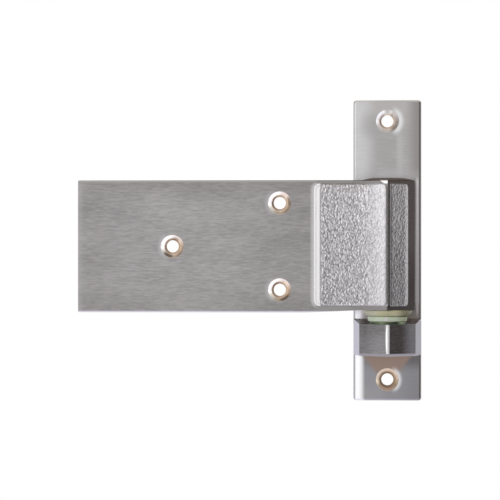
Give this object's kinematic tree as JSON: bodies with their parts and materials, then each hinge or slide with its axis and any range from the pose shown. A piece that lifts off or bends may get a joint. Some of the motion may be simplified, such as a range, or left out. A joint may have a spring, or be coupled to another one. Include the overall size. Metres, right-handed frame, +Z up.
{
  "type": "cold room door hinge",
  "caption": "Cam-rise door hinge: an offset strap with a ridged, pebbled knuckle turns on a pin in an upright flange and climbs nylon helical cams as the door opens.",
  "frame": {"origin": "back of the flange, midway between its two screw holes", "axes": "+X along the strap towards the pin side, +Y into the wall, +Z up along the pin"},
  "size_m": [0.1897, 0.0395, 0.1684],
  "materials": {
    "flange_steel": "satin",
    "strap_steel": "brushed",
    "pin_steel": "ground",
    "lower_cam_nylon": "moulded",
    "upper_cam_nylon": "moulded",
    "sleeve_nylon": "moulded",
    "cap_plastic": "moulded"
  },
  "bodies": {
    "frame_leaf": {"flange": "flange_steel", "hinge_pin": "pin_steel", "lower_cam": "lower_cam_nylon"},
    "sleeve": {"pin_sleeve": "sleeve_nylon"},
    "door_leaf": {"strap": "strap_steel", "upper_cam": "upper_cam_nylon", "bore_cap": "cap_plastic"}
  },
  "joints": [
    {"name": "door_swing", "type": "hinge", "parent": "frame_leaf", "child": "sleeve", "pos_m": [0, -0.0235, 0], "axis": [0, 0, 1], "range_deg": [0, 120]},
    {"name": "cam_rise", "type": "slide", "parent": "sleeve", "child": "door_leaf", "axis": [0, 0, 1], "range_m": [0, 0.00801]}
  ],
  "couplings": [
    {"joint": "cam_rise", "follows": "door_swing", "m_per_rad": 0.0038197}
  ]
}
